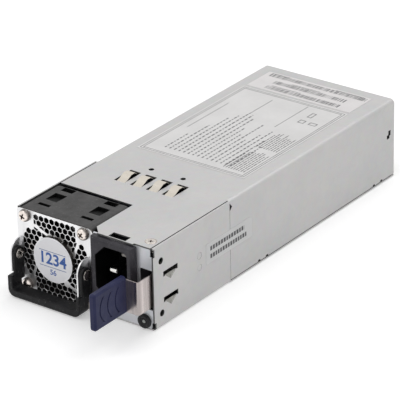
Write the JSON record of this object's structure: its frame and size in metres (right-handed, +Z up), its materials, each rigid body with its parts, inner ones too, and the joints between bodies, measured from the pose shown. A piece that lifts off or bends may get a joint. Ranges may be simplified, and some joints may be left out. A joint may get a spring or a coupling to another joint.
{
  "type": "hot swap server power supply",
  "caption": "Flat steel-cased plug-in power supply: caged fan with swinging handle, mains inlet and spring latch at the front, card edge at the rear.",
  "frame": {"origin": "middle of the case's underside, on the floor's outer face", "axes": "+Y along the length from the handle end to the card edge, +Z up, +X to the right seen from the front"},
  "size_m": [0.0736, 0.2248, 0.0404],
  "materials": {
    "galvanised_steel": "satin zinc coat with faint spangle",
    "screw_steel": "bright zinc",
    "earth_strip": "bright, slightly warm",
    "bright_plate": "bright satin",
    "fan_frame": "fine moulded grain",
    "fan_blades": "satin",
    "motor_steel": "ground",
    "magnet": "dull",
    "copper": "enamelled wire",
    "handle_plastic": "fine moulded grain",
    "inlet_plastic": "satin moulded",
    "pin_metal": "nickel plated",
    "spring_steel": "bright rolled",
    "paddle_plastic": "satin moulded navy",
    "bezel_plastic": "satin",
    "lamp_lens": "clear, slightly milky",
    "label_silver": "silver film",
    "label_white": "coated paper",
    "label_disc": "coated paper",
    "board_laminate": "solder mask",
    "contact_gold": "gold flash",
    "film": "satin sheet",
    "spacer_brass": "turned",
    "fuse_tube": "ceramic",
    "ferrite": "sintered",
    "filter_box": "moulded box",
    "relay_case": "moulded box",
    "ceramic_disc": "dipped",
    "capacitor_sleeve": "shrink sleeve",
    "sink_aluminium": "extruded",
    "package_epoxy": "moulded epoxy",
    "winding_tape": "polyester tape"
  },
  "bodies": {
    "chassis": {"base_chassis": "galvanised_steel", "top_cover": "galvanised_steel", "cover_screw": "screw_steel", "earth_spring_strip": "earth_strip", "earth_strip_rivets": "earth_strip", "front_panel": "galvanised_steel", "rear_panel": "galvanised_steel", "fan_grille_plate": "bright_plate", "grille_screws": "screw_steel", "fan_housing": "fan_frame", "fan_stator": "copper", "fan_bearings": "motor_steel", "handle_ears": "bright_plate", "handle_pivots": "screw_steel", "inlet_housing": "inlet_plastic", "inlet_pins": "pin_metal", "latch_spring_root": "spring_steel", "latch_rivets": "motor_steel", "lamp_bezel": "bezel_plastic", "status_lamp": "lamp_lens", "rating_label": "label_silver", "barcode_label": "label_white", "side_label": "label_white", "grille_disc_label": "label_disc", "main_board": "board_laminate", "edge_contacts": "contact_gold", "insulating_film": "film", "board_spacers": "spacer_brass", "board_screws": "screw_steel", "input_fuse": "fuse_tube", "choke_core": "ferrite", "choke_windings": "copper", "filter_capacitors": "filter_box", "inrush_relay": "relay_case", "disc_capacitors": "ceramic_disc", "bulk_capacitor": "capacitor_sleeve", "primary_heat_sink": "sink_aluminium", "switching_transistors": "package_epoxy", "power_choke_core": "ferrite", "power_choke_winding": "copper", "transformer_core": "ferrite", "transformer_winding": "winding_tape", "output_heat_sinks": "sink_aluminium", "output_capacitors": "capacitor_sleeve", "control_board": "board_laminate", "control_chips": "package_epoxy"},
    "handle": {"handle_bail": "handle_plastic"},
    "latch": {"latch_spring": "spring_steel", "latch_paddle": "paddle_plastic"},
    "fan": {"fan_rotor": "fan_blades", "fan_shaft": "motor_steel", "fan_magnet_ring": "magnet"}
  },
  "joints": [
    {"name": "handle_pivot", "type": "hinge", "parent": "chassis", "child": "handle", "pos_m": [-0.0159, -0.0965, 0.019], "axis": [-1, 0, 0], "range_deg": [0, 100]},
    {"name": "latch_flex", "type": "hinge", "parent": "chassis", "child": "latch", "pos_m": [0.03515, -0.0645, 0.0188], "axis": [0, 0, -1], "range_deg": [0, 5], "stiffness_Nm_per_rad": 2.9},
    {"name": "fan_spin", "type": "hinge", "parent": "chassis", "child": "fan", "pos_m": [-0.0159, -0.08, 0.0195], "axis": [0, 1, 0], "continuous": true}
  ]
}
